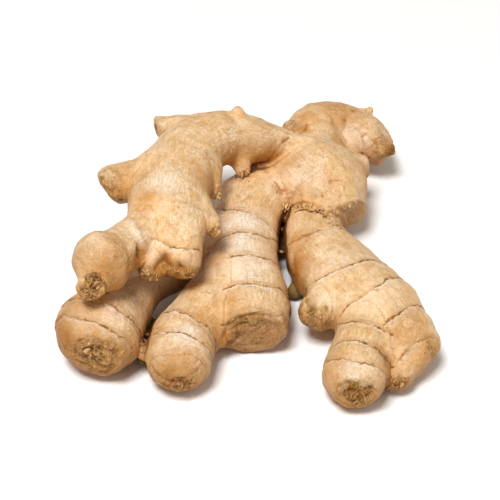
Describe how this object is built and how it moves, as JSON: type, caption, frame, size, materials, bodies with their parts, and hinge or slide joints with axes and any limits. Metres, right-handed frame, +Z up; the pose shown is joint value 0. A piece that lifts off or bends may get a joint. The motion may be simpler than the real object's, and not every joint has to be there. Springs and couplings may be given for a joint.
{
  "type": "ginger root",
  "caption": "Whole fresh ginger rhizome lying flat: a hand of thick ringed fingers branching from one crown, with cut and scarred ends.",
  "frame": {"origin": "centre of the outline box, on the surface that the rhizome lies on", "axes": "+Z up, +Y from the finger tips towards the crown and its knob, +X to the right when the tips point at the viewer"},
  "size_m": [0.1486, 0.1742, 0.0566],
  "materials": {
    "ginger_skin": "thin pale tan papery skin, softly satin, with brown ring lines"
  },
  "bodies": {
    "root": {"rhizome": "ginger_skin"}
  },
  "joints": []
}
